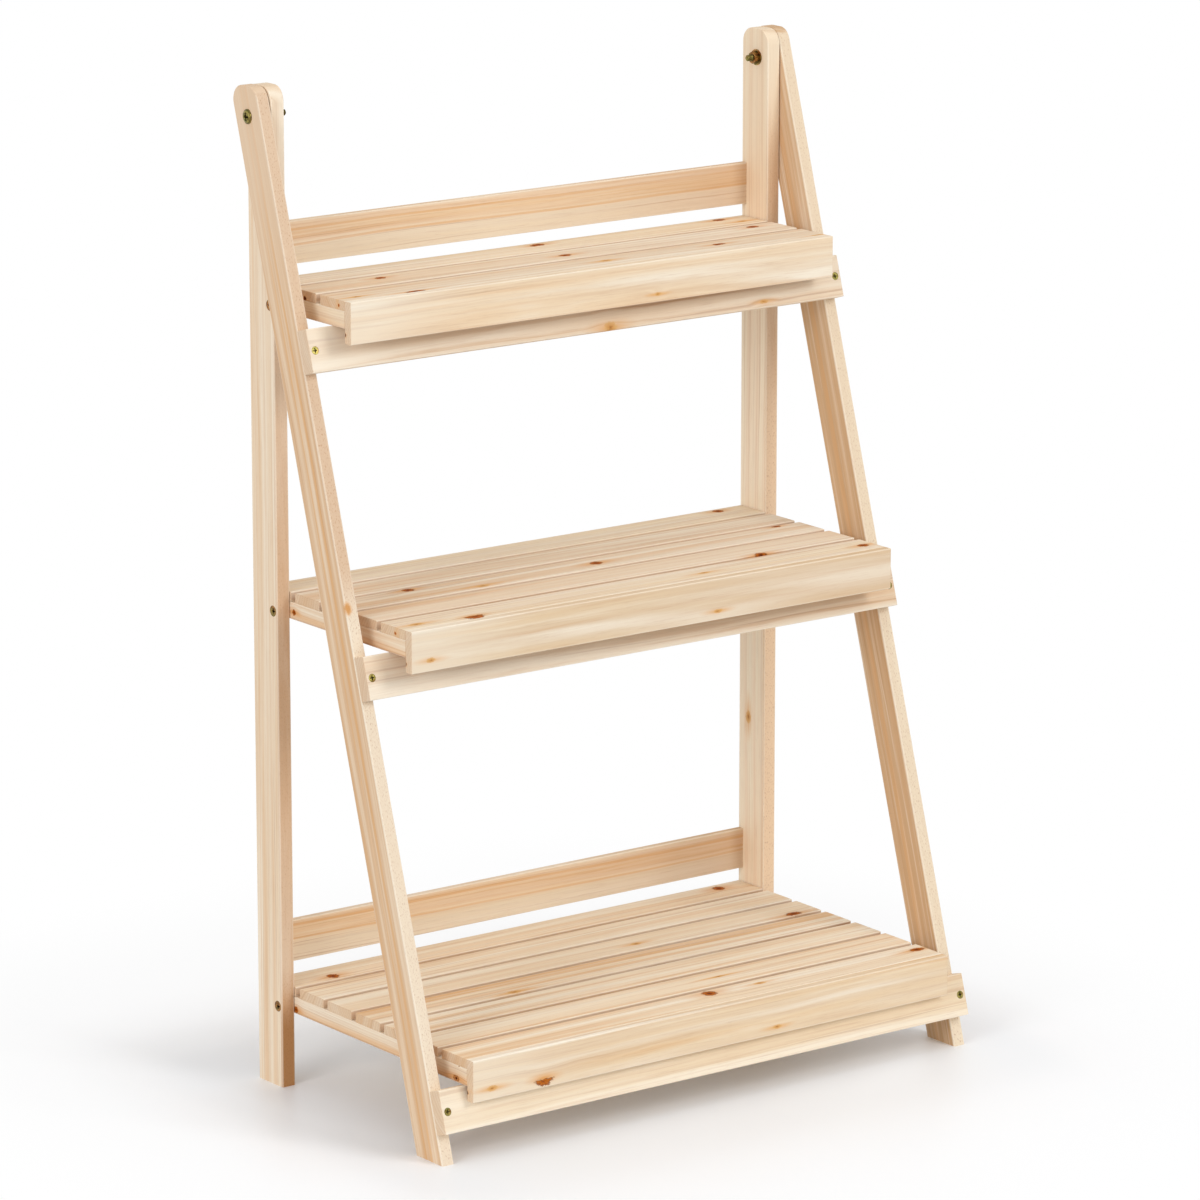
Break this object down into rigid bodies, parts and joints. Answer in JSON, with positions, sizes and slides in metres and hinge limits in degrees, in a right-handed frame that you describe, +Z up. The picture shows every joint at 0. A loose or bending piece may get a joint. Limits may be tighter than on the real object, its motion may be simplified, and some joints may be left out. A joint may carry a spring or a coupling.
{
  "type": "folding ladder plant stand",
  "caption": "Folding slatted plant stand in pale softwood: upright rear frame, leaning front frame and tiered shelves that lift to fold flat",
  "frame": {"origin": "on the floor under the middle of the stand as it stands open", "axes": "+Z up, +X to the viewer's right seen from the front, +Y from the leaning front frame to the posts"},
  "size_m": [0.6048, 0.3206, 0.927],
  "materials": {
    "frame_pine": "planed and sanded, bare, with warm streaks",
    "slat_pine": "planed and sanded, bare, with brown knots",
    "pale_pine": "planed and sanded, bare, cream with yellow grain",
    "back_rail_pine": "planed and sanded, bare, with an orange heartwood band",
    "dowel_beech": "turned, bare",
    "yellow_zinc": "yellow zinc plating, darker in the recesses"
  },
  "bodies": {
    "rear_frame": {"rear_post_left": "frame_pine", "rear_post_right": "frame_pine", "back_rail_top": "back_rail_pine", "back_rail_bottom": "back_rail_pine", "back_rail_screws": "yellow_zinc", "pivot_bolts": "yellow_zinc", "pivot_spacers": "yellow_zinc", "pivot_washers": "yellow_zinc", "pivot_nuts": "yellow_zinc"},
    "front_frame": {"front_leg_left": "frame_pine", "front_leg_right": "frame_pine", "cross_rail_top": "pale_pine", "cross_rail_middle": "pale_pine", "cross_rail_bottom": "pale_pine", "cross_rail_screws": "yellow_zinc"},
    "shelf_top": {"top_slat_1": "slat_pine", "top_slat_2": "slat_pine", "top_slat_3": "slat_pine", "top_side_rail_left": "frame_pine", "top_side_rail_right": "frame_pine", "top_fascia": "pale_pine", "top_slat_screws": "yellow_zinc", "top_fascia_dowels": "dowel_beech", "top_hinge_screws": "yellow_zinc"},
    "shelf_middle": {"middle_slat_1": "slat_pine", "middle_slat_2": "slat_pine", "middle_slat_3": "slat_pine", "middle_slat_4": "slat_pine", "middle_slat_5": "slat_pine", "middle_side_rail_left": "frame_pine", "middle_side_rail_right": "frame_pine", "middle_fascia": "pale_pine", "middle_slat_screws": "yellow_zinc", "middle_fascia_dowels": "dowel_beech", "middle_hinge_screws": "yellow_zinc"},
    "shelf_bottom": {"bottom_slat_1": "slat_pine", "bottom_slat_2": "slat_pine", "bottom_slat_3": "slat_pine", "bottom_slat_4": "slat_pine", "bottom_slat_5": "slat_pine", "bottom_slat_6": "slat_pine", "bottom_slat_7": "slat_pine", "bottom_side_rail_left": "frame_pine", "bottom_side_rail_right": "frame_pine", "bottom_fascia": "pale_pine", "bottom_slat_screws": "yellow_zinc", "bottom_fascia_dowels": "dowel_beech", "bottom_hinge_screws": "yellow_zinc"}
  },
  "joints": [
    {"name": "front_frame_fold", "type": "hinge", "parent": "rear_frame", "child": "front_frame", "pos_m": [0, 0.13691, 0.9], "axis": [1, 0, 0], "range_deg": [0, 16.67]},
    {"name": "top_shelf_lift", "type": "hinge", "parent": "rear_frame", "child": "shelf_top", "pos_m": [0, 0.12641, 0.73], "axis": [-1, 0, 0], "range_deg": [0, 90]},
    {"name": "middle_shelf_lift", "type": "hinge", "parent": "rear_frame", "child": "shelf_middle", "pos_m": [0, 0.12641, 0.449], "axis": [-1, 0, 0], "range_deg": [0, 90]},
    {"name": "bottom_shelf_lift", "type": "hinge", "parent": "rear_frame", "child": "shelf_bottom", "pos_m": [0, 0.12641, 0.0765], "axis": [-1, 0, 0], "range_deg": [0, 90]}
  ]
}
